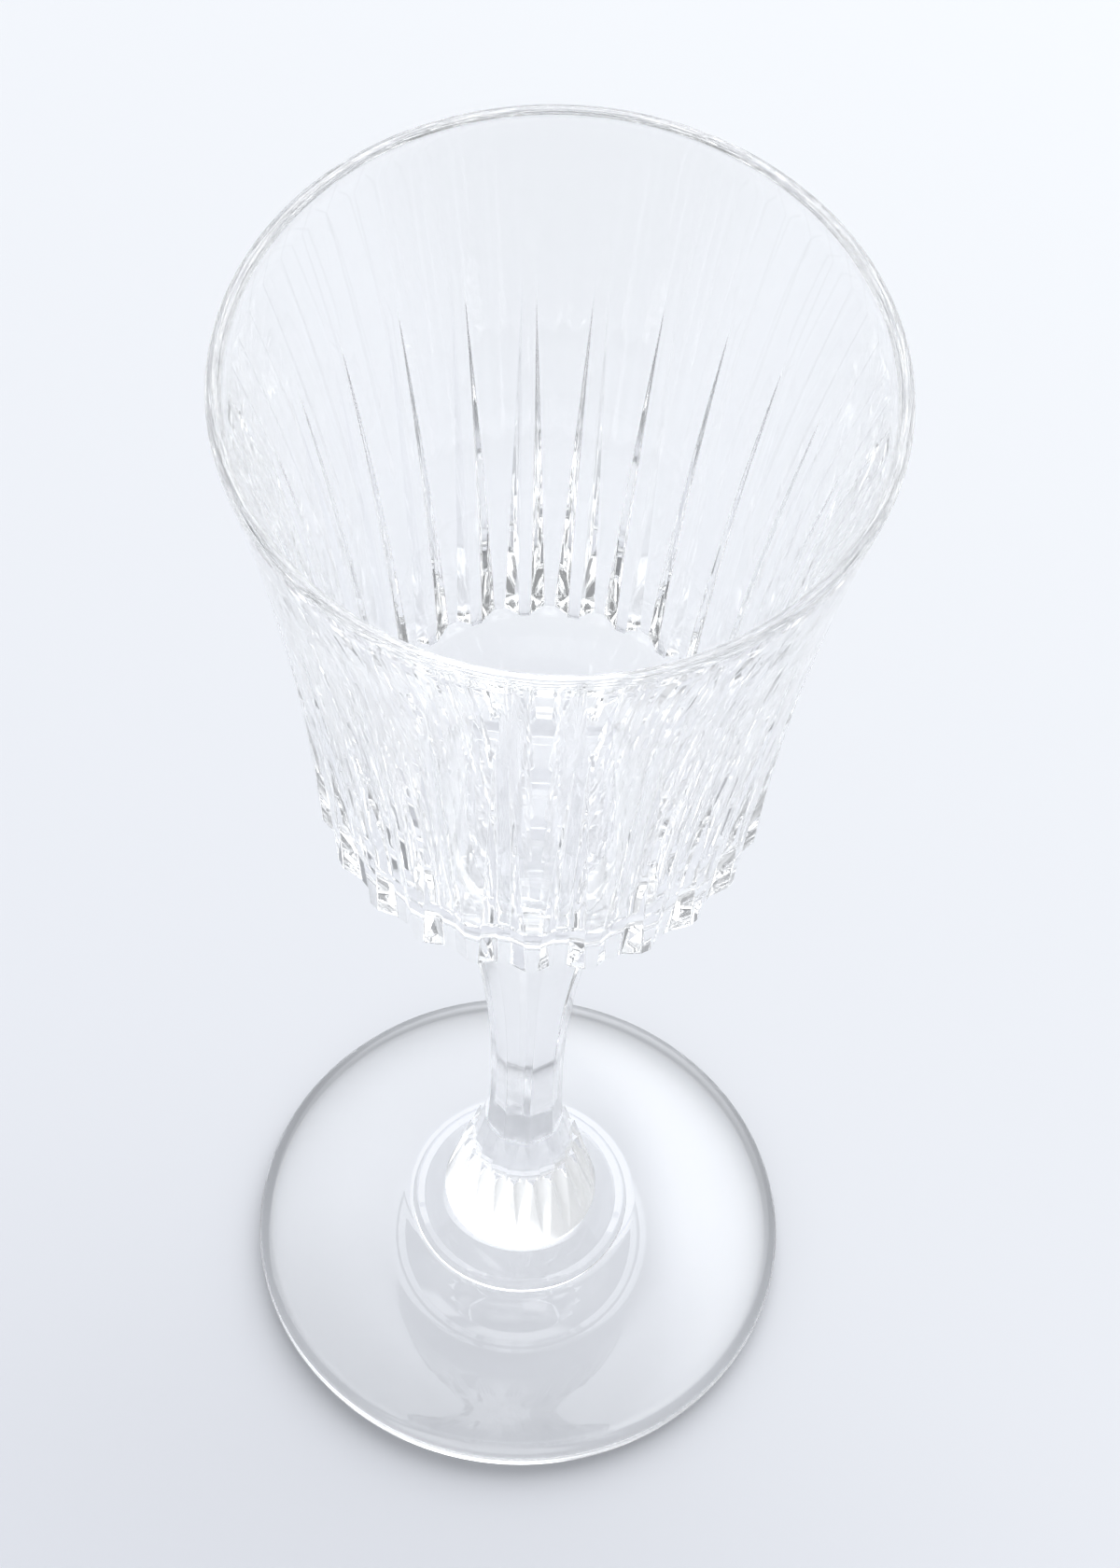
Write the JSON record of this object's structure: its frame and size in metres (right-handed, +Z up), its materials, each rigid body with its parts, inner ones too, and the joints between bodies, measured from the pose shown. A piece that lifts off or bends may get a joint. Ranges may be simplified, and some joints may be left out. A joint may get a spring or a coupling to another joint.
{
  "type": "white wine glass",
  "caption": "Clear stemmed white wine glass: flared bowl with pointed flutes cut in the outside, faceted stem, bell-shaped faceted knop and a round domed foot.",
  "frame": {"origin": "centre of the flat ring face under the foot, on the axis of the glass", "axes": "+Z up along the axis of the glass, -Y towards the viewer in the picture"},
  "size_m": [0.08, 0.08, 0.2124],
  "materials": {
    "foot_glass": "fire-polished smooth clear glass",
    "knop_glass": "pressed clear glass with sharp flat facets",
    "stem_glass": "pressed clear glass with soft flat facets",
    "bowl_glass": "pressed clear glass, cut flutes below and a fire-polished rim"
  },
  "bodies": {
    "root": {"foot": "foot_glass", "knop": "knop_glass", "stem": "stem_glass", "bowl": "bowl_glass"}
  },
  "joints": []
}
